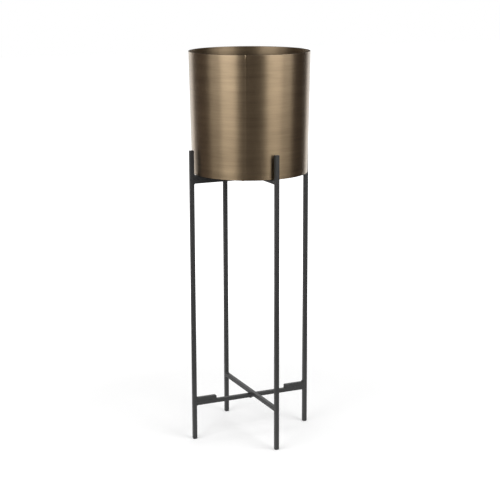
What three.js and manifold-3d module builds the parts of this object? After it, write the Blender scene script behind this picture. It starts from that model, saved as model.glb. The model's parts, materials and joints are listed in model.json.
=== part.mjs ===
// A plant stand: a tapered metal pot that stands between the legs of a folding stand.
//
// The stand is two H-shaped frames of solid square bar. Frame A runs along X and frame B
// along Y. Each frame has two legs and two crossbars, and at both levels the crossbar of
// frame B lies on the crossbar of frame A, held by one rivet on the Z axis, so the frames
// turn on the two rivets until they lie almost side by side. Short lengths of the same bar,
// the seat tabs, are welded on the ends of frame A's crossbars. They bring its seat up to
// the level of frame B's, so the pot stands level on all four arms of the cross.
//
// Millimetres, +Z up. The origin is on the floor, under the middle of the stand.

import * as THREE from 'three';
import { mergeVertices } from 'three/addons/utils/BufferGeometryUtils.js';
import Module from 'manifold-3d';

const wasm = await Module();
wasm.setup();

// ---- Driving dimensions ----------------------------------------------------------------

// The square bar that every rod of the stand is cut from
const BAR = 10; // side of the bar
const BAR_EDGE = 1; // rounding along its four long edges
const LEG_END_EDGE = 0.7; // rounding round both ends of a leg

// The stand
const LEG_GAP = 298; // clear width between the two legs of a frame
const UPPER_SEAT = 671; // height of the level that the pot stands on
const LOWER_SEAT = 108; // height of the same level on the lower cross
const PRONG = 61; // how far the legs reach up past the upper seat
const TAB_LENGTH = 53.5; // length of a seat tab

// The pivot rivets
const SHANK_D = 5; // diameter of the shank
const SHANK_RUN = 0.15; // running clearance round the shank, on the radius
const HEAD_D = 8.6; // diameter of the domed head under the cross
const HEAD_H = 3.2; // height of the domed head
const SINK_D = 7.6; // diameter of the countersunk head in the top of the cross
const SINK_ANGLE = 90; // included angle of the countersunk head, in degrees
const SINK_DROP = 0.2; // how far the countersunk head lies below the bar's top

// The foot glides
const SOLE = 2.5; // thickness of the sole under the leg
const SOLE_CORNER = 2; // rounding of its four upright corners
const SOLE_EDGE = 1.4; // rounding of its lower edge
const STEM_D = 4; // diameter of the stem pressed into the leg
const STEM_LENGTH = 9; // length of the stem
const STEM_FIT = 0.1; // clearance round the stem and past its end

// The pot
const POT_GAP = 5.75; // clearance between the pot and a leg's inner face at the leg's top
const POT_HEIGHT = 295;
const POT_FLARE = 6; // how much the radius grows from the base to the rim
const SHEET = 1.2; // thickness of the sheet metal
const BASE_EDGE = 0.6; // rounding of the wall's lower outer edge
const BASE_FIT = 0.2; // clearance between the base disc and the wall

// How finely the curves are divided
const POT_SIDES = 96;
const PIN_SIDES = 32;
const CORNER_STEPS = 2;

// ---- Derived places --------------------------------------------------------------------

const LEG_INNER = LEG_GAP / 2;
const LEG_CENTRE = LEG_INNER + BAR / 2;
const LEG_TOP = UPPER_SEAT + PRONG;
const BORE_R = SHANK_D / 2 + SHANK_RUN;
const SINK_SLOPE = Math.tan(THREE.MathUtils.degToRad(SINK_ANGLE / 2));
const SINK_DEPTH = (SINK_D - SHANK_D) / 2 / SINK_SLOPE;
const POT_BASE_R = LEG_INNER - POT_GAP - (POT_FLARE * PRONG) / POT_HEIGHT;
const QUARTER = Math.PI / 2;
const PAST = 1; // how far a cutting form runs past the face that it cuts

// ---- Finishes --------------------------------------------------------------------------

const POWDER_COAT = { color: 0x3c3c3d, roughness: 0.5, metalness: 0 };
const PLASTIC = { color: 0x262626, roughness: 0.7, metalness: 0 };
const BRUSHED_BRASS = { color: 0x8f7a5c, roughness: 0.35, metalness: 1 };

// ---- Solids: joining and cutting ---------------------------------------------------------

function toSolid(geometry) {
  const bare = geometry.clone();
  bare.deleteAttribute('normal');
  bare.deleteAttribute('uv');
  const merged = mergeVertices(bare, 1e-5);
  return new wasm.Manifold(new wasm.Mesh({
    numProp: 3,
    vertProperties: new Float32Array(merged.attributes.position.array),
    triVerts: new Uint32Array(merged.index.array),
  }));
}

function toGeometry(solid) {
  const mesh = solid.getMesh();
  const geometry = new THREE.BufferGeometry();
  geometry.setAttribute('position', new THREE.BufferAttribute(new Float32Array(mesh.vertProperties), 3));
  geometry.setIndex(new THREE.BufferAttribute(new Uint32Array(mesh.triVerts), 1));
  geometry.computeVertexNormals();
  return geometry;
}

function cut(geometry, ...tools) {
  const solid = tools.reduce((left, tool) => left.subtract(toSolid(tool)), toSolid(geometry));
  return toGeometry(solid);
}

function join(geometry, other) {
  return toGeometry(toSolid(geometry).add(toSolid(other)));
}

// ---- Basic forms, each drawn along +Z from z = 0 -------------------------------------------

function squareOutline(side, corner) {
  const middle = side / 2 - corner;
  const outline = new THREE.Shape();
  outline.absarc(middle, middle, corner, 0, QUARTER);
  outline.absarc(-middle, middle, corner, QUARTER, 2 * QUARTER);
  outline.absarc(-middle, -middle, corner, 2 * QUARTER, 3 * QUARTER);
  outline.absarc(middle, -middle, corner, 3 * QUARTER, 4 * QUARTER);
  return outline;
}

// A length of bar with square-cut ends
function cutBar(length) {
  return new THREE.ExtrudeGeometry(squareOutline(BAR, BAR_EDGE), {
    depth: length,
    bevelEnabled: false,
    curveSegments: CORNER_STEPS,
  });
}

// A square block whose end edges are rounded
function roundedBlock(corner, edge, length) {
  const block = new THREE.ExtrudeGeometry(squareOutline(BAR, corner), {
    depth: length - 2 * edge,
    bevelThickness: edge,
    bevelSize: edge,
    bevelOffset: -edge,
    bevelSegments: CORNER_STEPS,
    curveSegments: CORNER_STEPS,
  });
  return block.translate(0, 0, edge);
}

// A solid of revolution round Z, from [radius, height] pairs that rise from foot to top
function turned(profile, sides) {
  const points = profile.map(([radius, height]) => new THREE.Vector2(radius, height));
  return new THREE.LatheGeometry(points, sides).rotateX(QUARTER);
}

function pin(radius, bottom, top) {
  return turned([[0, bottom], [radius, bottom], [radius, top], [0, top]], PIN_SIDES);
}

// Points of an arc in a turned profile, both ends included
function arc(centreR, centreZ, radius, from, to, steps) {
  return Array.from({ length: steps + 1 }, (_, step) => {
    const angle = from + ((to - from) * step) / steps;
    return [centreR + radius * Math.cos(angle), centreZ + radius * Math.sin(angle)];
  });
}

// ---- Pieces of the stand -----------------------------------------------------------------

function legGeometry() {
  const bar = roundedBlock(BAR_EDGE, LEG_END_EDGE, LEG_TOP - SOLE);
  const stemHole = pin(STEM_D / 2 + STEM_FIT, -PAST, STEM_LENGTH + STEM_FIT);
  return cut(bar, stemHole);
}

// The sole is the lower half of a rounded block, with the stem standing on it
function glideGeometry() {
  const block = roundedBlock(SOLE_CORNER, SOLE_EDGE, 2 * SOLE);
  const upperHalf = new THREE.BoxGeometry(2 * BAR, 2 * BAR, 2 * SOLE).translate(0, 0, 2 * SOLE);
  const stem = pin(STEM_D / 2, SOLE / 2, SOLE + STEM_LENGTH);
  return join(cut(block, upperHalf), stem);
}

// A crossbar runs along X, its underside at z = 0, and is drilled for the rivet's shank
function crossbarGeometry() {
  const bar = cutBar(LEG_GAP).translate(0, 0, -LEG_INNER).rotateY(QUARTER).translate(0, 0, BAR / 2);
  return cut(bar, pin(BORE_R, -PAST, BAR + PAST));
}

// Frame B's crossbar is countersunk for the rivet's upper head
function sunkCrossbarGeometry() {
  const foot = BAR - SINK_DEPTH;
  const top = BAR + PAST;
  const topR = BORE_R + (top - foot) * SINK_SLOPE;
  return cut(crossbarGeometry(), turned([[0, foot], [BORE_R, foot], [topR, top], [0, top]], PIN_SIDES));
}

// A seat tab starts at x = 0 and lies on z = 0
function seatTabGeometry() {
  return cutBar(TAB_LENGTH).rotateY(QUARTER).translate(0, 0, BAR / 2);
}

// Domed head below z = 0, shank through both bars, countersunk head just under the top
function rivetGeometry() {
  const shankR = SHANK_D / 2;
  const top = 2 * BAR - SINK_DROP;
  const topR = SINK_D / 2 - SINK_DROP * SINK_SLOPE;
  const domeR = ((HEAD_D / 2) ** 2 + HEAD_H ** 2) / (2 * HEAD_H);
  const domeEdge = Math.asin(HEAD_D / 2 / domeR);
  const dome = arc(0, domeR - HEAD_H, domeR, -QUARTER, -QUARTER + domeEdge, 2 * CORNER_STEPS);
  const shank = [[shankR, 0], [shankR, 2 * BAR - SINK_DEPTH], [topR, top], [0, top]];
  return turned([...dome, ...shank], PIN_SIDES);
}

// ---- Pieces of the pot -------------------------------------------------------------------

function potRadius(height) {
  return POT_BASE_R + (POT_FLARE * height) / POT_HEIGHT;
}

// The rolled wall: a cone of sheet metal, open at both ends, with a rounded rim
function potWallGeometry() {
  const rimHalf = SHEET / 2;
  const rimZ = POT_HEIGHT - rimHalf;
  const rimCentre = potRadius(rimZ) - rimHalf;
  const foot = arc(POT_BASE_R - BASE_EDGE, BASE_EDGE, BASE_EDGE, -QUARTER, 0, CORNER_STEPS);
  const rim = arc(rimCentre, rimZ, rimHalf, 0, 2 * QUARTER, 2 * CORNER_STEPS);
  const start = [POT_BASE_R - SHEET, 0];
  return turned([start, ...foot, ...rim, start], POT_SIDES);
}

function potBaseGeometry() {
  const radius = POT_BASE_R - SHEET - BASE_FIT;
  return turned([[0, 0], [radius, 0], [radius, SHEET], [0, SHEET]], POT_SIDES);
}

// ---- Assembly ----------------------------------------------------------------------------

function place(parent, name, geometry, finish, position, turn = 0) {
  const mesh = new THREE.Mesh(geometry, new THREE.MeshStandardMaterial(finish));
  mesh.name = name;
  mesh.position.set(...position);
  mesh.rotation.z = turn;
  parent.add(mesh);
}

const plantStand = new THREE.Group();
const frameA = new THREE.Group();
const frameB = new THREE.Group();
const pot = new THREE.Group();
plantStand.add(frameA, frameB, pot);

const legs = [
  { frame: frameA, side: 'left', position: [-LEG_CENTRE, 0] },
  { frame: frameA, side: 'right', position: [LEG_CENTRE, 0] },
  { frame: frameB, side: 'front', position: [0, -LEG_CENTRE] },
  { frame: frameB, side: 'back', position: [0, LEG_CENTRE] },
];
for (const { frame, side, position } of legs) {
  place(frame, `leg_${side}`, legGeometry(), POWDER_COAT, [...position, SOLE]);
  place(frame, `foot_glide_${side}`, glideGeometry(), PLASTIC, [...position, 0]);
}

// A cross is the two crossbars of one level, the seat tabs on frame A's bar, and the rivet
const crosses = [
  { level: 'lower', seat: LOWER_SEAT },
  { level: 'upper', seat: UPPER_SEAT },
];
for (const { level, seat } of crosses) {
  const barA = seat - 2 * BAR;
  const barB = seat - BAR;
  place(frameA, `${level}_crossbar_a`, crossbarGeometry(), POWDER_COAT, [0, 0, barA]);
  place(frameA, `${level}_seat_tab_left`, seatTabGeometry(), POWDER_COAT, [-LEG_INNER, 0, barB]);
  place(frameA, `${level}_seat_tab_right`, seatTabGeometry(), POWDER_COAT, [LEG_INNER - TAB_LENGTH, 0, barB]);
  place(frameA, `${level}_pivot_rivet`, rivetGeometry(), POWDER_COAT, [0, 0, barA]);
  place(frameB, `${level}_crossbar_b`, sunkCrossbarGeometry(), POWDER_COAT, [0, 0, barB], QUARTER);
}

place(pot, 'pot_wall', potWallGeometry(), BRUSHED_BRASS, [0, 0, UPPER_SEAT]);
place(pot, 'pot_base', potBaseGeometry(), BRUSHED_BRASS, [0, 0, UPPER_SEAT]);

export default plantStand;
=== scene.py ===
# %% [markdown]
# # Plant stand: the looks
#
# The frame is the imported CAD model: a folding stand of solid square bar and a tapered sheet-metal
# pot. It gives every place and size. This lesson adds what the solids leave out: a finely rounded
# pot wall with its seam, the solder, the ground ends of the seat tabs, the weld beads, the
# finishes, the studio and the camera.
# Everything is in metres, in the frame's own axes: X along the frame with the seat tabs,
# Y along the other frame, Z up, the floor at 0.

import json
import math

import bmesh
import bpy
from mathutils import Matrix, Vector


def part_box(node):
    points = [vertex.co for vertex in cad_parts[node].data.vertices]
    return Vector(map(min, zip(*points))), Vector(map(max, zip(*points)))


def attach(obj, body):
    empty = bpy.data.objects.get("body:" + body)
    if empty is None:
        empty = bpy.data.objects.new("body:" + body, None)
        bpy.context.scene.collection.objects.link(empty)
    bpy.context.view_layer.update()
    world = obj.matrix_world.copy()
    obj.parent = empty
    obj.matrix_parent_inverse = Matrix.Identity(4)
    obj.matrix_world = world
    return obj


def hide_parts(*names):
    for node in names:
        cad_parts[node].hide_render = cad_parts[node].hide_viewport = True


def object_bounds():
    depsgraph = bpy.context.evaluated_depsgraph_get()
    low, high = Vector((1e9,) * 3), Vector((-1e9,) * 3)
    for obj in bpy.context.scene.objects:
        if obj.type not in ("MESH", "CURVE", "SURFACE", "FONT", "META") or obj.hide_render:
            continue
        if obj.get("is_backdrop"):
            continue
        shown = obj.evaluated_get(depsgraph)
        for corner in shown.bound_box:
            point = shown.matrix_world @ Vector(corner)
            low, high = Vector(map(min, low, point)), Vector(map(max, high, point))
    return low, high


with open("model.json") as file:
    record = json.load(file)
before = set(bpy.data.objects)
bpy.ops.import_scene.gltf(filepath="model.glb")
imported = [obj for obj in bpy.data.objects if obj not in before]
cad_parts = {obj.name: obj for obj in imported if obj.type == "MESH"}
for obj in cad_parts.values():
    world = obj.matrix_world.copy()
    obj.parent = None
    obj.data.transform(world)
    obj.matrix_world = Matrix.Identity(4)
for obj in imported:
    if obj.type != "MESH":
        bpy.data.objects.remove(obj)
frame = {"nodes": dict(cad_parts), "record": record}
nodes = frame["nodes"]
cad_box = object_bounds()
print("size of the solids, mm:", [round(1000 * s) for s in cad_box[1] - cad_box[0]])

# %% [markdown]
# ## Camera
#
# A standing person's view of the stand: a little above the pot's rim and turned to the left of
# the front leg, so that one frame is seen nearly side on and the other comes towards the camera.
# A long lens keeps the legs close to parallel. A small shift of the lens does the rest, which is
# what a studio camera does to keep uprights upright.

# %% Camera
CAMERA_SIDE = 24.40  # degrees from the front leg towards the left one
CAMERA_AWAY = 3.2179
CAMERA_HEIGHT = 1.2034
CAMERA_DOWN = 12.05  # degrees below level
CAMERA_ROLL = -0.18
LENS_MM = 95.31
LENS_SHIFT = -0.035

side = math.radians(CAMERA_SIDE)
turn = Matrix.Rotation(-side, 4, "Z") @ Matrix.Rotation(math.radians(90 - CAMERA_DOWN), 4, "X")
turn = turn @ Matrix.Rotation(math.radians(CAMERA_ROLL), 4, "Z")
eye = (-CAMERA_AWAY * math.sin(side), -CAMERA_AWAY * math.cos(side), CAMERA_HEIGHT)
camera = bpy.data.objects.new("camera", bpy.data.cameras.new("camera"))
camera.matrix_world = Matrix.Translation(eye) @ turn
camera.data.lens = LENS_MM
camera.data.shift_y = LENS_SHIFT
bpy.context.scene.collection.objects.link(camera)
bpy.context.scene.camera = camera
print("camera at", [round(c, 3) for c in camera.matrix_world.translation])

# %% [markdown]
# ## Node maths as arithmetic
#
# A shader with forty nodes is hard to read as forty calls. `Wire` wraps one socket, so a sum of
# wires adds a Math node and `1 - mask` reads as it should. Every other node comes from its one
# method `node`: the type, the settings, then what goes into the sockets. Geometry Nodes trees
# have the same Math nodes, so the class serves both.


# %% The Wire class
class Wire:
    """A socket of a node tree. Arithmetic on it adds Math nodes."""

    def __init__(self, tree, socket=None):
        self.tree = tree
        self.socket = socket

    def node(self, kind, settings=None, inputs=None, output=0):
        """Adds a node: settings first, then a link or a value for each input."""
        made = self.tree.nodes.new(kind)
        for name, value in (settings or {}).items():
            setattr(made, name, value)
        for name, value in (inputs or {}).items():
            if isinstance(value, Wire):
                self.tree.links.new(value.socket, made.inputs[name])
            else:
                made.inputs[name].default_value = value
        return Wire(self.tree, made.outputs[output] if len(made.outputs) else None)

    def out(self, name):
        """Another output of the same node."""
        return Wire(self.tree, self.socket.node.outputs[name])

    def math(self, operation, *values, clamp=False):
        """A Math node on these values, which are wires or numbers."""
        settings = {"operation": operation, "use_clamp": clamp}
        return self.node("ShaderNodeMath", settings, dict(enumerate(values)))

    def step(self, start, end):
        """0 before start and 1 after end."""
        return self.math("MULTIPLY", self - start, 1 / (end - start), clamp=True)

    def __add__(self, other):
        return self.math("ADD", self, other)

    def __sub__(self, other):
        return self.math("SUBTRACT", self, other)

    def __mul__(self, other):
        return self.math("MULTIPLY", self, other)

    def __truediv__(self, other):
        return self.math("DIVIDE", self, other)

    def __rsub__(self, other):
        return self.math("SUBTRACT", other, self)

    __radd__ = __add__
    __rmul__ = __mul__


# %% [markdown]
# ## Floor, surround and lamps
#
# Polished metal shows what stands round it, so the pot's stripes are the studio. A picture of a
# studio could be wrapped round the scene. Real panels and cloth are easier to move until the
# stripes lie right, so they are used here. Two tall soft panels stand left and right of the
# camera and make the two light stripes. Two narrower, dimmer ones beyond them carry the light on
# towards the pot's sides. In between, and again further round, the pot sees dark cloth, and at
# its very edges the white background behind it. One wide panel overhead lights the floor and
# leaves the pot's broad soft shadow on it.
#
# The cloth is real geometry that only reflections see. The floor is white paper: diffuse, so that
# it takes the shadow, with a little glow for the rays that see it directly, so that it is white.
# Its back is clear, so the stand can be looked at from below as well.


# %% Stage helpers
def stage_mesh(name, points, faces, finish):
    """An object of the studio, which isn't part of the stand."""
    mesh = bpy.data.meshes.new(name)
    mesh.from_pydata(points, [], faces)
    mesh.materials.append(finish)
    made = bpy.data.objects.new(name, mesh)
    bpy.context.scene.collection.objects.link(made)
    made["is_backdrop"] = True
    return made


def new_finish(name):
    """An empty material, and a wire to start its nodes from."""
    finish = bpy.data.materials.new(name)
    finish.use_nodes = True
    finish.node_tree.nodes.clear()
    return finish, Wire(finish.node_tree)


def seen_directly(start):
    """1 for the rays of the camera, of reflections and through glass, 0 for the rest."""
    ray = start.node("ShaderNodeLightPath")
    found = ray.out("Is Camera Ray") + ray.out("Is Glossy Ray") + ray.out("Is Transmission Ray")
    return start.math("MINIMUM", found, 1.0)


# %% Floor
FLOOR_HALF = 12.0
PAPER = (0.80, 0.80, 0.80, 1)
PAPER_GLOW = 0.203
GLOW_NEAR, GLOW_FAR = 0.40, 1.6  # the glow grows to full white between these distances

paper, start = new_finish("white_paper")
diffuse = start.node("ShaderNodeBsdfDiffuse", inputs={"Color": PAPER})
here = start.node("ShaderNodeTexCoord", output="Object")
away = start.node("ShaderNodeVectorMath", {"operation": "LENGTH"}, {0: here}, output="Value")
fade = start.node("ShaderNodeMapRange", {"interpolation_type": "SMOOTHSTEP"}, {
    "Value": away, "From Min": GLOW_NEAR, "From Max": GLOW_FAR, "To Min": PAPER_GLOW, "To Max": 1.0})
glow = start.node("ShaderNodeEmission", inputs={"Strength": seen_directly(start) * fade})
lit = start.node("ShaderNodeAddShader", inputs={0: diffuse, 1: glow})
from_below = start.node("ShaderNodeNewGeometry").out("Backfacing")
clear = start.node("ShaderNodeBsdfTransparent")
shown = start.node("ShaderNodeMixShader", inputs={0: from_below, 1: lit, 2: clear})
start.node("ShaderNodeOutputMaterial", inputs={"Surface": shown})
corners = [(x * FLOOR_HALF, y * FLOOR_HALF, 0) for x, y in ((-1, -1), (1, -1), (1, 1), (-1, 1))]
stage_mesh("floor", corners, [(0, 1, 2, 3)], paper)
print("floor:", 2 * FLOOR_HALF, "m square")

# %% Surround
AMBIENT = 0.36
WHITE = (1, 1, 1, 1)

world = bpy.data.worlds.new("surround")
world.use_nodes = True
world.node_tree.nodes.clear()
bpy.context.scene.world = world
start = Wire(world.node_tree)
white = start.node("ShaderNodeBackground", inputs={"Color": WHITE, "Strength": 1.0})
soft = start.node("ShaderNodeBackground", inputs={"Color": WHITE, "Strength": AMBIENT})
sky = start.node("ShaderNodeMixShader", inputs={0: seen_directly(start), 1: soft, 2: white})
start.node("ShaderNodeOutputWorld", inputs={"Surface": sky})
print("surround:", AMBIENT, "of white as light")

# %% Dark cloth
CLOTH_RINGS = ((0.55, 0.004), (2.6, 0.004), (2.6, 3.2))  # distance and height, from the floor up
CLOTH_BROWN = (1.0, 0.84, 0.76)
CLOTH_STEP = 4  # degrees


def around(angle, away, height):
    """A point at an angle from the camera's side, counted towards the right."""
    a = side - math.radians(angle)
    return (-away * math.sin(a), -away * math.cos(a), height)


def hang_cloth(name, first, last, level):
    """Dark cloth from one angle to another, hung up and laid on the floor before it."""
    finish, start = new_finish(name)
    brown = (*(level * c for c in CLOTH_BROWN), 1)
    dim = start.node("ShaderNodeEmission", inputs={"Color": brown, "Strength": 1.0})
    start.node("ShaderNodeOutputMaterial", inputs={"Surface": dim})
    steps = range(first, last + 1, CLOTH_STEP)
    points = [around(a, away, height) for a in steps for away, height in CLOTH_RINGS]
    faces = []
    for k in range(len(steps) - 1):
        for j in range(len(CLOTH_RINGS) - 1):
            a = k * len(CLOTH_RINGS) + j
            faces.append((a, a + 1, a + len(CLOTH_RINGS) + 1, a + len(CLOTH_RINGS)))
    hanging = stage_mesh(name, points, faces, finish)
    for rays in ("camera", "diffuse", "shadow", "transmission"):
        setattr(hanging, "visible_" + rays, False)
    print(name + ":", len(faces), "faces")


hang_cloth("left_cloth", -134, -70, level=0.14)
hang_cloth("middle_cloth", -70, 70, level=0.082)
hang_cloth("right_cloth", 70, 138, level=0.075)

# %% Lamps
PANEL_AIM = Vector((0, 0, 0.8))


def panel(name, angle, away, height, width, tall, level):
    """A soft panel that faces the pot. level is its brightness: 1 is white."""
    data = bpy.data.lights.new(name, "AREA")
    data.shape = "RECTANGLE"
    data.size = width
    data.size_y = tall
    data.energy = level * math.pi * width * tall
    lamp = bpy.data.objects.new(name, data)
    lamp.location = around(angle, away, height)
    aim = PANEL_AIM - lamp.location
    lamp.rotation_euler = aim.to_track_quat("-Z", "Y").to_euler()
    lamp.visible_camera = False
    bpy.context.scene.collection.objects.link(lamp)
    print(f"{name}: {width} x {tall} m, {level} of white")


panel("left_panel", angle=-39.5, away=1.9, height=1.55, width=1.2, tall=1.9, level=3.2)
panel("left_side_panel", angle=-68.5, away=1.9, height=1.55, width=0.75, tall=1.9, level=1.4)
panel("right_panel", angle=47.5, away=1.9, height=1.65, width=1.2, tall=1.9, level=3.3)
panel("right_side_panel", angle=75.0, away=1.9, height=1.55, width=0.75, tall=1.9, level=1.6)
panel("top_panel", angle=180, away=0.40, height=2.7, width=2.0, tall=2.0, level=1.6)
bpy.context.scene.view_settings.view_transform = "Standard"

# %% [markdown]
# ## Powder coat, plastic and the rivets' coat
#
# The bars are powder coated: a baked layer of plastic, near black and satin. Close to, it has the
# low dimples that painters call orange peel, and it isn't quite the same depth everywhere. One
# flat colour would look like a drawing of a bar, and a painted image would have to be wrapped
# round every one. Two noises need neither, because both read the object's own coordinates: a broad
# one shifts the colour and the gloss a little, and a fine one dimples the surface through a Bump
# node. The rivets' coat is a little glossier, and the glides are moulded plastic with a finer
# grain, so the same function makes all three.


# %% Noise and colour helpers
def noise(start, scale, detail=3.0, rough=0.5):
    """Noise in the object's own coordinates, multiplied by three numbers."""
    here = start.node("ShaderNodeTexCoord", output="Object")
    inputs = {"Vector": here, "Scale": scale}
    here = start.node("ShaderNodeMapping", {"vector_type": "POINT"}, inputs)
    inputs = {"Vector": here, "Scale": 1.0, "Detail": detail, "Roughness": rough}
    return start.node("ShaderNodeTexNoise", inputs=inputs)


def blend(start, factor, one, other):
    """One colour turning into another."""
    made = start.node("ShaderNodeMix", {"data_type": "RGBA"}, {"Factor": factor})
    node = made.socket.node
    for name, value in (("A_Color", one), ("B_Color", other)):
        socket = next(s for s in node.inputs if s.identifier == name)
        if isinstance(value, Wire):
            start.tree.links.new(value.socket, socket)
        else:
            socket.default_value = value
    return Wire(start.tree, next(s for s in node.outputs if s.identifier == "Result_Color"))


def grey(level, warm=0.0):
    """A grey, made a little warmer or, below 0, cooler."""
    return (level * (1 + warm), level, level * (1 - warm), 1)


# %% Coat
BROAD = 18  # patches per metre, roughly
GLOSS_SHIFT = 0.08  # how much the patches move the roughness


def coated(name, dark, light, gloss, dimple, dimple_size):
    """A dimpled coat or plastic, between two colours."""
    finish, start = new_finish(name)
    broad = noise(start, (BROAD, BROAD, BROAD))
    fine = noise(start, (1 / dimple_size,) * 3, detail=2.0)
    colour = blend(start, broad, dark, light)
    rough = gloss + GLOSS_SHIFT * (broad - 0.5)
    bump = start.node("ShaderNodeBump", inputs={"Strength": 1.0, "Distance": dimple, "Height": fine})
    inputs = {"Base Color": colour, "Roughness": rough, "Normal": bump}
    shader = start.node("ShaderNodeBsdfPrincipled", inputs=inputs)
    start.node("ShaderNodeOutputMaterial", inputs={"Surface": shader})
    return finish


COATS = {  # darkest and lightest colour, roughness, then the height and the size of the dimples
    "stand_black": (grey(0.021, -0.01), grey(0.029, -0.01), 0.49, 0.00003, 0.0014),
    "rivet_black": (grey(0.022, -0.02), grey(0.040), 0.36, 0.00003, 0.0012),
    "glide_plastic": (grey(0.018), grey(0.026), 0.58, 0.00004, 0.0007),
}

# %% Finishes of the stand's own solids
# The frame's plain materials have the slots' names. They go first, so that the finishes get them.
for plain in list(bpy.data.materials):
    if plain.name in COATS or plain.name == "pot_brass":
        bpy.data.materials.remove(plain)
finishes = {name: coated(name, *look) for name, look in COATS.items()}

wanted = {row["node"]: row["material_slot"] for row in frame["record"]["subparts"]}
for name, slot_name in wanted.items():
    if slot_name in finishes:
        nodes[name].data.materials.clear()
        nodes[name].data.materials.append(finishes[slot_name])
print("coated:", ", ".join(n for n in wanted if wanted[n] in finishes))

# %% [markdown]
# ## Brushed antique brass
#
# The pot is brass sheet, darkened and then rubbed round and round with an abrasive pad. Three
# things make that look. The scratches run round the pot, so the metal is rough upwards
# and smooth sideways: Anisotropic does that, turned by a quarter. They come in bands, some
# coarser: noise squeezed flat, which stays sharp close up, as an image of scratches wouldn't.
# And the darkening is uneven, with a few darker clouds.
#
# One number gives every scratch its place: height plus distance from the axis. On the wall it
# changes as one goes up, so the scratches are level rings. On the base disc it changes as one
# goes outwards, so there they are rings about the middle, as on a disc turned against the pad.
#
# Three masks need the sheet's sizes, which are read off the solid: the inside, a little tarnished
# near the rim and with painted shade that deepens downwards, so that it stays darker; the raw edges
# at rim and foot, which are nearly black; and a narrow band outside, just below the rim, with a painted
# highlight of brighter brass.

# %% Sizes of the wall
SHEET = 0.0012

low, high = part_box("pot_wall")
reach = [(v.co.z, math.hypot(v.co.x, v.co.y)) for v in nodes["pot_wall"].data.vertices]
POT_FOOT_R = max(r for z, r in reach if z < low.z + 0.002)
POT_RIM_R = max(r for z, r in reach)
FLARE = (POT_RIM_R - POT_FOOT_R) / (high.z - low.z)
print("wall radius at foot and rim, mm:", round(1000 * POT_FOOT_R, 2), round(1000 * POT_RIM_R, 2))


# %% Scratches
def pot_point(start):
    """Across, depth and height of the point that is shaded, and its distance from the axis."""
    place = start.node("ShaderNodeTexCoord", output="Object")
    across = start.node("ShaderNodeSeparateXYZ", inputs={0: place})
    depth, height = across.out("Y"), across.out("Z")
    radius = start.math("SQRT", across * across + depth * depth)
    return across, depth, height, radius


def scratches(start, point, per_metre, detail, rough, round_metre):
    """Noise squeezed flat: many steps from ring to ring, few on the way round."""
    across, depth, height, radius = point
    ring = height + radius
    inputs = {0: across * round_metre, 1: depth * round_metre, 2: ring * per_metre}
    spot = start.node("ShaderNodeCombineXYZ", inputs=inputs)
    inputs = {"Vector": spot, "Scale": 1.0, "Detail": detail, "Roughness": rough}
    return start.node("ShaderNodeTexNoise", inputs=inputs)


# %% Inside shade, raw edge and rim highlight
INSIDE_BLUR = 0.0002  # the sheet's outside turns into its inside over this
RIM_FULL, RIM_END = 0.0004, 0.0007  # the raw edge, down from the rim
FOOT_FULL, FOOT_END = 0.0005, 0.0008  # the raw edge, up from the foot
HIGHLIGHT_FULL, HIGHLIGHT_END = 0.0010, 0.0026  # the painted highlight band outside, down from the rim
SHADE_FROM, SHADE_FULL_BELOW = 0.006, 0.030  # the painted shade inside grows between these depths, down from the rim


def pot_masks(point):
    """Masks of the pot: its inside, raw edges and painted highlight band, and how deep inside a point
    is, which sets the painted shade.
    """
    _, _, height, radius = point
    middle = POT_FOOT_R - SHEET / 2 + (height - low.z) * FLARE
    inside = (middle - radius).step(0.0, INSIDE_BLUR)
    rim_edge = height.step(high.z - RIM_END, high.z - RIM_FULL)
    raw_edge = rim_edge + (low.z - height).step(-FOOT_END, -FOOT_FULL)
    # painted highlight: a narrow band outside, just below the rim
    rim_highlight = height.step(high.z - HIGHLIGHT_END, high.z - HIGHLIGHT_FULL) * (1 - inside)
    # painted shade inside, which deepens downwards
    deep = (high.z - height).step(SHADE_FROM, SHADE_FULL_BELOW)
    return inside, raw_edge, rim_highlight, deep


# %% Brass
BRASS_DARK = (0.270, 0.201, 0.124, 1)
BRASS_LIGHT = (0.400, 0.299, 0.185, 1)
# the colour of the painted highlight below the rim
HIGHLIGHT_BRASS = (0.50, 0.385, 0.26, 1)
# tarnish for the raw edges and the inside, and painted shade inside
TARNISH_AND_SHADE = (0.030, 0.022, 0.014, 1)
HIGHLIGHT_SHARE = 0.4  # share of highlight brass in the painted highlight band
INSIDE_DARK, DEEP_SHADE_SHARE = 0.22, 0.70  # share of the dark colour inside: tarnish near the rim, and painted shade deep down
EDGE_DARK = 0.96  # share of tarnish on the raw edge
HAIR, LINES, BANDS, CLOUDS = 0.7, 0.9, 1.5, 0.6  # how much each moves the colour
BRASS_ROUGH = 0.38
LINES_ROUGH, CLOUDS_ROUGH, INSIDE_ROUGH, EDGE_ROUGH = 0.08, 0.05, 0.06, 0.2
SCRATCH_DEPTH = 0.00002


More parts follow.
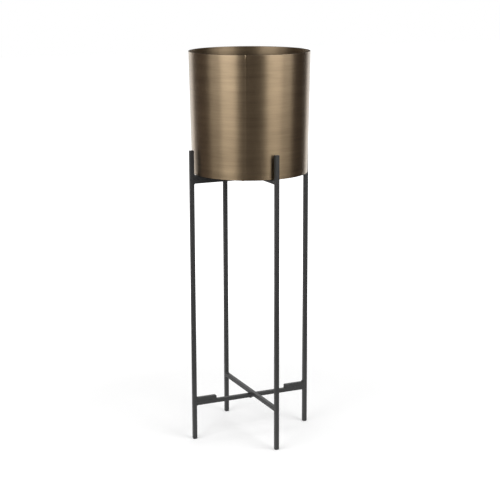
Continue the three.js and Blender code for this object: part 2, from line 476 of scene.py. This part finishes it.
def brushed(name, dark, light):
    """Brass with scratches that run round the pot's axis."""
    finish, start = new_finish(name)
    point = pot_point(start)
    hair = scratches(start, point, per_metre=1500, detail=3.0, rough=0.6, round_metre=10)
    lines = scratches(start, point, per_metre=330, detail=4.0, rough=0.66, round_metre=14)
    bands = scratches(start, point, per_metre=75, detail=3.0, rough=0.6, round_metre=8)
    clouds = noise(start, (9, 9, 9), detail=5.0, rough=0.6)
    rub = (hair - 0.5) * HAIR + (lines - 0.5) * LINES + (bands - 0.5) * BANDS
    rub = start.math("ADD", rub + (clouds - 0.5) * CLOUDS, 0.5, clamp=True)

    inside, raw_edge, rim_highlight, deep = pot_masks(point)
    # the inside: tarnish near the rim, and painted shade that deepens downwards
    inside_tarnish_and_shade = inside * (INSIDE_DARK + (DEEP_SHADE_SHARE - INSIDE_DARK) * deep)
    colour = blend(start, rub, dark, light)
    # painted highlight: the band below the rim, outside, turns to bright brass
    colour = blend(start, rim_highlight * HIGHLIGHT_SHARE, colour, HIGHLIGHT_BRASS)
    colour = blend(start, inside_tarnish_and_shade, colour, TARNISH_AND_SHADE)
    colour = blend(start, raw_edge * EDGE_DARK, colour, TARNISH_AND_SHADE)

    rough = BRASS_ROUGH + LINES_ROUGH * (lines - 0.5) + CLOUDS_ROUGH * (clouds - 0.5)
    inputs = {"Strength": 1.0, "Distance": SCRATCH_DEPTH, "Height": hair * 0.5 + lines}
    bump = start.node("ShaderNodeBump", inputs=inputs)
    inputs = {
        "Base Color": colour,
        "Metallic": 1.0,
        "Roughness": rough + INSIDE_ROUGH * inside + EDGE_ROUGH * raw_edge,
        "Anisotropic": 0.80,
        "Anisotropic Rotation": 0.25,
        "Coat Weight": 0.5 - 0.5 * raw_edge,
        "Coat Roughness": 0.3,
        "Normal": bump,
    }
    shader = start.node("ShaderNodeBsdfPrincipled", inputs=inputs)
    start.node("ShaderNodeOutputMaterial", inputs={"Surface": shader})
    return finish


pot_brass = brushed("pot_brass", BRASS_DARK, BRASS_LIGHT)
nodes["pot_base"].data.materials.clear()
nodes["pot_base"].data.materials.append(pot_brass)
print("brass:", len(pot_brass.node_tree.nodes), "nodes")

# %% [markdown]
# ## The pot's wall
#
# The real wall is one strip of sheet, rolled to a slightly wider rim and joined up one side.
# It could be lathed with Spin, but the seam would have to be pushed out by hand afterwards.
# Its shape follows a rule, a section swept once round, so Geometry Nodes make it: the modifier's
# own mesh is the section, and a grid is bent round the axis with each row taking its radius and
# height from one point of the section. The columns stand closer near the seam, where a low
# ridge is left, with a small lip at its top. A slow noise keeps the wall from being perfectly
# round, as no rolled sheet is.

# %% Section of the wall
EDGE_HOLD = 0.0005  # a row this close to each edge keeps the shading of the round edge off the wall


def wall_section(rows=44, round_steps=6):
    """Points (radius, height) round the sheet's section: out side, rim, in side, foot."""
    half = SHEET / 2

    def middle(z):
        return POT_FOOT_R + FLARE * (z - low.z) - half

    bottom, top = low.z + half, high.z - half
    levels = [bottom + (top - bottom) * k / rows for k in range(rows + 1)]
    levels = sorted([*levels, bottom + EDGE_HOLD, top - EDGE_HOLD])
    out = [(middle(z) + half, z) for z in levels]
    rim = [math.pi * k / round_steps for k in range(1, round_steps)]
    over = [(middle(top) + half * math.cos(a), top + half * math.sin(a)) for a in rim]
    inside = [(r - SHEET, z) for r, z in reversed(out)]
    under = [(middle(bottom) - half * math.cos(a), bottom - half * math.sin(a)) for a in rim]
    return out + over + inside + under


section = wall_section()
print("section:", len(section), "points")


# %% Helpers for Geometry Nodes
def new_tree(name, sizes):
    """An empty geometry tree with one named input for each size."""
    tree = bpy.data.node_groups.new(name, "GeometryNodeTree")
    tree.interface.new_socket("Geometry", in_out="INPUT", socket_type="NodeSocketGeometry")
    for label in sizes:
        tree.interface.new_socket(label, in_out="INPUT", socket_type="NodeSocketFloat")
    tree.interface.new_socket("Geometry", in_out="OUTPUT", socket_type="NodeSocketGeometry")
    source = tree.nodes.new("NodeGroupInput")
    given = {s.name: Wire(tree, s) for s in source.outputs if s.name}
    return tree, Wire(tree), given


def finish_tree(start, shape, finish):
    """The end of every tree: real geometry, smooth, with its material."""
    shape = start.node("GeometryNodeRealizeInstances", inputs={"Geometry": shape})
    shape = start.node("GeometryNodeSetShadeSmooth", inputs={"Geometry": shape})
    shape = start.node("GeometryNodeSetMaterial", inputs={"Geometry": shape, "Material": finish})
    start.node("NodeGroupOutput", inputs={0: shape})


def grown(name, points, edges, tree, sizes, body, beads=None):
    """Runs the tree on a small mesh of points and keeps the result as a plain piece."""
    mesh = bpy.data.meshes.new(name + "_source")
    mesh.from_pydata(points, edges, [])
    if beads:
        mesh.attributes.new("bead", "FLOAT", "POINT").data.foreach_set("value", beads)
    source = bpy.data.objects.new(name + "_source", mesh)
    bpy.context.scene.collection.objects.link(source)
    modifier = source.modifiers.new("grow", "NODES")
    modifier.node_group = tree
    for item in tree.interface.items_tree:
        if item.in_out == "INPUT" and item.name in sizes:
            modifier[item.identifier] = float(sizes[item.name])
    shown = source.evaluated_get(bpy.context.evaluated_depsgraph_get())
    piece = bpy.data.objects.new(name, bpy.data.meshes.new_from_object(shown))
    bpy.data.objects.remove(source)
    bpy.context.scene.collection.objects.link(piece)
    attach(piece, body)
    print(name + ":", len(piece.data.polygons), "faces")
    return piece


# %% Wall tree: the columns round the seam
COLUMNS = 320
GATHER = 0.8  # how much closer the columns stand at the seam

sizes = {
    "Seam Side": math.radians(27.6),  # from the front leg towards the left one
    "Seam Width": 0.0016,
    "Seam Height": 0.00012,
    "Lip Height": 0.004,
    "Lip Out": 0.0005,
    "Rim Level": high.z,
    "Waviness": 0.00022,
}
tree, start, given = new_tree("rolled_wall", sizes)
count = len(section)
inputs = {"Size X": 1.0, "Size Y": 1.0, "Vertices X": count + 1, "Vertices Y": COLUMNS + 1}
grid = start.node("GeometryNodeMeshGrid", inputs=inputs)
spot = start.node("GeometryNodeInputPosition")
flat_x = start.node("ShaderNodeSeparateXYZ", inputs={0: spot})
row = start.math("MODULO", start.math("ROUND", (flat_x + 0.5) * count), float(count))
index = start.node("FunctionNodeFloatToInt", {"rounding_mode": "ROUND"}, {0: row})
settings = {"data_type": "FLOAT_VECTOR", "domain": "POINT"}
inputs = {"Geometry": given["Geometry"], "Value": spot, "Index": index}
sample = start.node("GeometryNodeSampleIndex", settings, inputs)
radius = start.node("ShaderNodeSeparateXYZ", inputs={0: sample})
level = radius.out("Z")
lean = flat_x.out("Y") * math.tau
off_seam = lean - GATHER * start.math("SINE", lean)

# %% Wall tree: ridge, lip and waves
along = off_seam * radius / given["Seam Width"]
ridge = start.math("POWER", math.e, 0 - along * along)
drop = (given["Rim Level"] - level) / given["Lip Height"]
lip = start.math("POWER", math.e, 0 - drop * drop) * ridge
angle = off_seam + given["Seam Side"]
round_x = 0 - start.math("SINE", angle)
round_y = 0 - start.math("COSINE", angle)
spread = start.node("ShaderNodeCombineXYZ", inputs={0: round_x, 1: round_y, 2: level * 3})
wave = start.node("ShaderNodeTexNoise", inputs={"Vector": spread, "Scale": 1.7, "Detail": 1.0})
out = radius + ridge * given["Seam Height"] + lip * given["Lip Out"]
out = out + (wave - 0.5) * given["Waviness"]
bent = start.node("ShaderNodeCombineXYZ", inputs={0: round_x * out, 1: round_y * out, 2: level})
shape = start.node("GeometryNodeSetPosition", inputs={"Geometry": grid, "Position": bent})
shape = start.node("GeometryNodeMergeByDistance", inputs={"Geometry": shape, "Distance": 0.000001})
finish_tree(start, shape, pot_brass)
print("wall tree:", len(tree.nodes), "nodes")

# %% Wall
pot_shell = grown("pot_shell", [(r, 0, z) for r, z in section], [], tree, sizes, "pot")
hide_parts("pot_wall")


# %% Which way a piece faces
def face_out(piece):
    """Turns all faces outwards, and prints whether the piece is closed."""
    work = bmesh.new()
    work.from_mesh(piece.data)
    bmesh.ops.recalc_face_normals(work, faces=work.faces)
    loose = sum(1 for e in work.edges if not e.is_manifold)
    if work.calc_volume(signed=True) < 0:
        bmesh.ops.reverse_faces(work, faces=work.faces)
    volume = work.calc_volume(signed=True)
    work.to_mesh(piece.data)
    work.free()
    print(piece.name + ": volume", round(volume * 1e6, 2), "cm3, open edges", loose)


face_out(pot_shell)

# %% [markdown]
# ## Solder in the pot
#
# The base disc is soldered to the wall from inside, which leaves a low ring of solder in the
# corner. A plain torus would be too even for it. It follows a path, the circle of the corner, so
# a tree sweeps a small round section along it and lets its thickness vary a little, as hand-run
# solder does.

# %% Solder ring
RING_POINTS = 180
SUNK = 0.0002  # how far inside its edge a run or a drop of solder has its middle

base_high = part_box("pot_base")[1]
ring_r = base_high.x - SUNK
ring = [math.tau * k / RING_POINTS for k in range(RING_POINTS)]
points = [(ring_r * math.cos(a), ring_r * math.sin(a), base_high.z) for a in ring]
edges = [(k, (k + 1) % RING_POINTS) for k in range(RING_POINTS)]
sizes = {"Solder Size": 0.0011, "Unevenness": 0.35}
tree, start, given = new_tree("solder_run", sizes)
curve = start.node("GeometryNodeMeshToCurve", inputs={0: given["Geometry"]})
spot = start.node("GeometryNodeInputPosition")
lump = start.node("ShaderNodeTexNoise", inputs={"Vector": spot, "Scale": 60.0, "Detail": 1.0})
swell = 1 + (lump - 0.5) * given["Unevenness"]
inputs = {"Resolution": 8, "Radius": given["Solder Size"]}
bit = start.node("GeometryNodeCurvePrimitiveCircle", inputs=inputs)
inputs = {"Curve": curve, "Profile Curve": bit, "Scale": swell}
shape = start.node("GeometryNodeCurveToMesh", inputs=inputs)
finish_tree(start, shape, pot_brass)
solder = grown("base_solder", points, edges, tree, sizes, "pot")
face_out(solder)

# %% [markdown]
# ## A drop of solder
#
# Beside the seam the photo shows one small dark bump on the wall's lower edge, where solder ran
# out under the sheet. It could be drawn into the wall's section, but it is there only once. One
# flattened ball is enough for it, sunk half into the edge.

# %% Solder drop
DROP_SIDE = math.radians(31.0)  # from the front leg towards the left one
DROP_LONG, DROP_HIGH = 0.0024, 0.0011
DROP_UP = 0.0001  # from the wall's lower edge to the middle of the drop


def kept_piece(name, work, finish):
    """Keeps a bmesh as a piece with one finish."""
    piece = bpy.data.objects.new(name, bpy.data.meshes.new(name))
    work.to_mesh(piece.data)
    work.free()
    piece.data.materials.append(finish)
    bpy.context.scene.collection.objects.link(piece)
    print(name + ":", len(piece.data.polygons), "faces")
    return piece


work = bmesh.new()
bmesh.ops.create_icosphere(work, subdivisions=3, radius=1.0)
turned = Matrix.Rotation(-DROP_SIDE, 4, "Z")
drop_r = POT_FOOT_R - SUNK
drop_at = (-drop_r * math.sin(DROP_SIDE), -drop_r * math.cos(DROP_SIDE), low.z + DROP_UP)
flattened = Matrix.Diagonal((DROP_LONG, DROP_HIGH, DROP_HIGH, 1))
lay = Matrix.Translation(drop_at) @ turned @ flattened
bmesh.ops.transform(work, matrix=lay, verts=work.verts)
for face in work.faces:
    face.smooth = True
solder_drop = kept_piece("solder_drop", work, pot_brass)
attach(solder_drop, "pot")

# %% [markdown]
# ## Seat tabs with ground ends
#
# The seat tabs are short lengths of the same bar. Their free ends were ground before they were
# welded on: the photo shows the upper corner rounded more than the bar's own edges. A Bevel
# modifier would round all edges alike, so bmesh's bevel takes them in turn. Each tab starts as a
# block of its solid's size. One bevel rounds the upper corner, and a second one softens every
# sharp edge that is left, but not those against the leg.

# %% Seat tabs
TAB_CORNER = 0.0028
TAB_EDGE = 0.001
SAME_PLACE = 1e-6
SHARP = 0.7  # radians
FLAT = 0.999  # a face whose normal has a part this large lies square to an axis


def ground_tab(whole, name, sign):
    """Adds one tab to the mesh. sign is the side of the stand that its leg is on."""
    tab_low, tab_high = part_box(name)
    inner, outer = (tab_low.x, tab_high.x) if sign > 0 else (tab_high.x, tab_low.x)
    work = bmesh.new()
    bmesh.ops.create_cube(work, size=1.0)
    block = Matrix.Translation((tab_low + tab_high) / 2) @ Matrix.Diagonal((*(tab_high - tab_low), 1))
    bmesh.ops.transform(work, matrix=block, verts=work.verts)

    def lies(edge, axis, place):
        return all(abs(v.co[axis] - place) < SAME_PLACE for v in edge.verts)

    corner = [e for e in work.edges if lies(e, 0, inner) and lies(e, 2, tab_high.z)]
    bmesh.ops.bevel(work, geom=corner, offset=TAB_CORNER, segments=6, profile=0.5, affect="EDGES")
    sharp = [e for e in work.edges if e.calc_face_angle() > SHARP and not lies(e, 0, outer)]
    bmesh.ops.bevel(work, geom=sharp, offset=TAB_EDGE, segments=3, profile=0.5, affect="EDGES")
    for face in work.faces:
        face.smooth = max(abs(c) for c in face.normal) < FLAT
    part = bpy.data.meshes.new(name + "_part")
    work.to_mesh(part)
    work.free()
    whole.from_mesh(part)
    bpy.data.meshes.remove(part)


LEVELS = ("lower", "upper")
tab_nodes = [f"{name}_seat_tab_{word}" for name in LEVELS for word in ("left", "right")]
whole = bmesh.new()
for name in tab_nodes:
    ground_tab(whole, name, -1 if name.endswith("left") else 1)
ground_tabs = kept_piece("ground_tabs", whole, finishes["stand_black"])
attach(ground_tabs, "frame_a")
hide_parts(*tab_nodes)
face_out(ground_tabs)

# %% [markdown]
# ## Weld beads
#
# Crossbars and seat tabs are welded between the legs, and the coat went on over the welds. A weld
# bead is a row of drops, each frozen half over the last. A swept tube would miss the drops, and
# modelling dozens of beads one by one would be slow. So each bead starts as one edge that
# lies in its corner. The tree puts a flattened drop every millimetre or so along it, square to
# the edge, with sizes that differ a little. Beads on the sides were ground nearly flush.

# %% Sizes of the beads
HALF_BAR = 0.005
BEAD_TOP = 0.0030  # radius of a drop, in the bead over the bar
BEAD_UNDER = 0.0019
BEAD_SIDE = 0.0010
BEAD_TACK = 0.0012  # where a seat tab ends on its crossbar
BEAD_HALF = 0.0034  # half the length of a bead across the bar
SIDE_IN = 0.0008  # a side bead lies this far inside the bar's side
SIDE_OFF = 0.0004  # and this far off the leg
SIDE_SHORT = 0.0012  # and ends this far from the bar's edges
print("drops over, under, beside, tack, mm:",
      [round(2000 * size, 1) for size in (BEAD_TOP, BEAD_UNDER, BEAD_SIDE, BEAD_TACK)])


# %% Where the beads lie
def bead_lines(axis, signs, legs, crossbar, tabs):
    """(start, end, size) of the beads of one frame. axis is 0 for the frame along X, 1 along Y."""
    found = []

    def point(along, across, height):
        return (along, across, height) if axis == 0 else (across, along, height)

    for level_name in LEVELS:
        bar_low, bar_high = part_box(f"{level_name}_{crossbar}")
        for k, sign in enumerate(signs):
            leg_low, leg_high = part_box(legs[k])
            face = leg_low[axis] if sign > 0 else leg_high[axis]
            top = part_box(f"{level_name}_{tabs[k]}")[1].z if tabs else bar_high.z
            for height, bead in ((top, BEAD_TOP), (bar_low.z, BEAD_UNDER)):
                found.append((point(face, -BEAD_HALF, height), point(face, BEAD_HALF, height), bead))
            inner = face + sign * SIDE_OFF
            low_end, high_end = bar_low.z + SIDE_SHORT, top - SIDE_SHORT
            for edge in (-1, 1):
                across = edge * (HALF_BAR - SIDE_IN)
                found.append((point(inner, across, low_end), point(inner, across, high_end), BEAD_SIDE))
            if tabs:
                tab_low, tab_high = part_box(f"{level_name}_{tabs[k]}")
                end = tab_low.x if sign > 0 else tab_high.x
                ends = point(end, -BEAD_HALF, bar_high.z), point(end, BEAD_HALF, bar_high.z)
                found.append((*ends, BEAD_TACK))
    return found


# %% Bead tree
DROP_FLAT = 0.6  # a drop's thickness along the bead, as a share of its width
RANDOM_SEED = 7

sizes = {"Pitch": 0.0011, "Variation": 0.07}
tree, start, given = new_tree("weld_bead", sizes)
curve = start.node("GeometryNodeMeshToCurve", inputs={0: given["Geometry"]})
inputs = {"Curve": curve, "Length": given["Pitch"]}
curve = start.node("GeometryNodeResampleCurve", {"mode": "LENGTH"}, inputs)
drop = start.node("GeometryNodeMeshIcoSphere", inputs={"Radius": 1.0, "Subdivisions": 2})
along = start.node("GeometryNodeInputTangent")
turned = start.node("FunctionNodeAlignRotationToVector", {"axis": "Z"}, {"Vector": along})
bead = start.node("GeometryNodeInputNamedAttribute", {"data_type": "FLOAT"}, {"Name": "bead"})
inputs = {2: 1 - given["Variation"], 3: 1 + given["Variation"], "Seed": RANDOM_SEED}
uneven = start.node("FunctionNodeRandomValue", {"data_type": "FLOAT"}, inputs, output=1)
wide = bead * uneven
flat = start.node("ShaderNodeCombineXYZ", inputs={0: wide, 1: wide, 2: wide * DROP_FLAT})
inputs = {"Points": curve, "Instance": drop, "Rotation": turned, "Scale": flat}
shape = start.node("GeometryNodeInstanceOnPoints", inputs=inputs)
finish_tree(start, shape, finishes["stand_black"])
print("bead tree:", len(tree.nodes), "nodes")


# %% Beads
def welded(name, lines, body):
    """All beads of one frame, as one piece."""
    points = [p for a, b, _ in lines for p in (a, b)]
    edges = [(2 * k, 2 * k + 1) for k in range(len(lines))]
    beads = [bead for _, _, bead in lines for _ in range(2)]
    return grown(name, points, edges, tree, sizes, body, beads)


SIGNS = (-1, 1)
TABS = ("seat_tab_left", "seat_tab_right")
welded("weld_beads_a", bead_lines(0, SIGNS, ("leg_left", "leg_right"), "crossbar_a", TABS), "frame_a")
welded("weld_beads_b", bead_lines(1, SIGNS, ("leg_front", "leg_back"), "crossbar_b", None), "frame_b")

# %% [markdown]
# ## Size
#
# Looks must not change the size. So the box of everything that is shown now is worked out, and how far
# each of its sides lies from the box of the solids from the start.

# %% Size
visual_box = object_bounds()
grown_by = [round(1000 * (visual_box[k][a] - cad_box[k][a]), 2) for k in (0, 1) for a in range(3)]
print("visual box less solids' box, mm:", grown_by)
